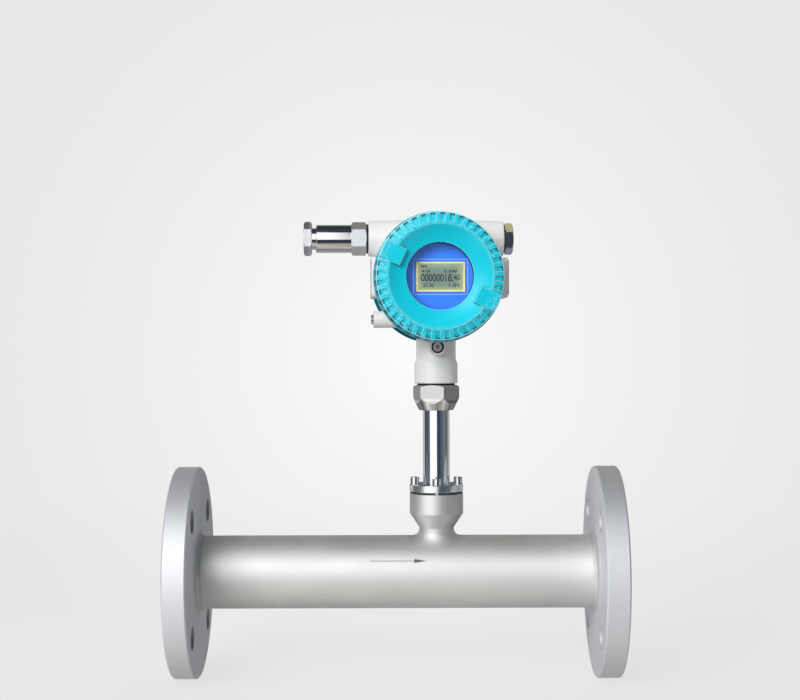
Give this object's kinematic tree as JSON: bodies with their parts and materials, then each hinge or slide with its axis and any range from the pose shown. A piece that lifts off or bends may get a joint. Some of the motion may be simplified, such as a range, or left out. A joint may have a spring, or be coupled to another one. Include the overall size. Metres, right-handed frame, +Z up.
{
  "type": "thermal mass flow meter",
  "caption": "Flanged in-line thermal mass flow meter with a straight measuring pipe, a sensor stem and a round head with a display window.",
  "frame": {"origin": "centre of the inlet flange's raised sealing face, on the pipe axis", "axes": "+X along the pipe in the direction of flow, +Z up the sensor stem, the head's display looks along -Y"},
  "size_m": [0.35, 0.165, 0.3627],
  "materials": {
    "blasted_steel": "bead-blasted matt stainless steel",
    "weld_metal": "dressed and blasted weld in stainless steel",
    "ground_steel": "turned and ground stainless steel with a satin sheen",
    "polished_steel": "mirror-polished stainless steel",
    "screw_steel": "bright stainless fastener",
    "black_rubber": "matt black moulded rubber",
    "white_coating": "white powder coat on cast aluminium, fine orange peel",
    "cyan_coating": "bright cyan powder coat on cast aluminium",
    "anodised_ring": "black anodised aluminium",
    "plain_plate": "brushed bare plate with nothing on it",
    "clear_glass": "clear toughened glass",
    "blue_dial": "satin blue printed film",
    "lcd_glass": "grey-green reflective display with dark segments",
    "cream_bezel": "cream moulded frame",
    "board_laminate": "green circuit board",
    "post_brass": "turned brass",
    "black_moulding": "black moulded plastic",
    "terminal_moulding": "dark grey moulded plastic",
    "lead_jacket": "black silicone jacket"
  },
  "bodies": {
    "meter_tube": {"measuring_pipe": "blasted_steel", "inlet_flange": "blasted_steel", "outlet_flange": "blasted_steel", "flange_welds": "weld_metal", "sensor_boss": "blasted_steel", "boss_weld": "weld_metal", "boss_gasket": "black_rubber", "sensor_flange": "polished_steel", "sensor_flange_screws": "screw_steel", "sensor_stem": "polished_steel", "probe_tube": "polished_steel", "heated_pin": "polished_steel", "reference_pin": "polished_steel", "hex_coupling": "ground_steel", "neck_seal": "black_rubber", "sensor_lead": "lead_jacket"},
    "head": {"housing": "white_coating", "neck_lock_screw": "screw_steel", "side_plate": "plain_plate", "plate_rivets": "screw_steel", "earth_screw": "screw_steel", "earth_washer": "screw_steel", "feedthrough": "black_moulding", "main_board": "board_laminate", "board_posts": "post_brass", "board_header": "black_moulding", "display_board": "board_laminate", "lcd_panel": "lcd_glass", "lcd_bezel": "cream_bezel", "dial_plate": "blue_dial", "dial_screws": "screw_steel", "terminal_block": "terminal_moulding", "terminal_screws": "screw_steel", "terminal_block_screws": "screw_steel", "gland_body": "ground_steel", "gland_seal": "black_rubber", "gland_insert": "black_rubber"},
    "gland_thread": {"gland_washer": "ground_steel"},
    "gland_nut": {"gland_nut": "ground_steel"},
    "plug_thread": {"plug_seal": "black_rubber"},
    "blanking_plug": {"blanking_plug": "ground_steel"},
    "front_cover_thread": {"front_cover_seal": "black_rubber"},
    "front_cover": {"front_cover": "cyan_coating", "window_glass": "clear_glass", "glass_gasket": "black_rubber", "glass_retainer": "anodised_ring"},
    "rear_cover_thread": {"rear_cover_seal": "black_rubber"},
    "rear_cover": {"rear_cover": "cyan_coating"}
  },
  "joints": [
    {"name": "head_swivel", "type": "hinge", "parent": "meter_tube", "child": "head", "pos_m": [0.206, 0, 0.165], "axis": [0, 0, 1], "range_deg": [-178, 172]},
    {"name": "front_cover_turn", "type": "hinge", "parent": "head", "child": "front_cover_thread", "pos_m": [0.20809, -0.03995, 0.23], "axis": [0.0523, -0.9986, 0], "range_deg": [0, 1800]},
    {"name": "front_cover_travel", "type": "slide", "parent": "front_cover_thread", "child": "front_cover", "axis": [0.0523, -0.9986, 0], "range_m": [0, 0.01]},
    {"name": "rear_cover_turn", "type": "hinge", "parent": "head", "child": "rear_cover_thread", "pos_m": [0.20391, 0.03995, 0.23], "axis": [-0.0523, 0.9986, 0], "range_deg": [0, 1800]},
    {"name": "rear_cover_travel", "type": "slide", "parent": "rear_cover_thread", "child": "rear_cover", "axis": [-0.0523, 0.9986, 0], "range_m": [0, 0.01]},
    {"name": "gland_nut_turn", "type": "hinge", "parent": "head", "child": "gland_thread", "pos_m": [0.11612, -0.00471, 0.2615], "axis": [-0.9986, -0.0523, 0], "range_deg": [0, 1800]},
    {"name": "gland_nut_travel", "type": "slide", "parent": "gland_thread", "child": "gland_nut", "axis": [-0.9986, -0.0523, 0], "range_m": [0, 0.0075]},
    {"name": "plug_turn", "type": "hinge", "parent": "head", "child": "plug_thread", "pos_m": [0.26093, 0.00288, 0.2615], "axis": [0.9986, 0.0523, 0], "range_deg": [0, 2880]},
    {"name": "plug_travel", "type": "slide", "parent": "plug_thread", "child": "blanking_plug", "axis": [0.9986, 0.0523, 0], "range_m": [0, 0.012]}
  ],
  "couplings": [
    {"joint": "front_cover_travel", "follows": "front_cover_turn", "m_per_rad": 0.00031831},
    {"joint": "rear_cover_travel", "follows": "rear_cover_turn", "m_per_rad": 0.00031831},
    {"joint": "gland_nut_travel", "follows": "gland_nut_turn", "m_per_rad": 0.00023873},
    {"joint": "plug_travel", "follows": "plug_turn", "m_per_rad": 0.00023873}
  ]
}
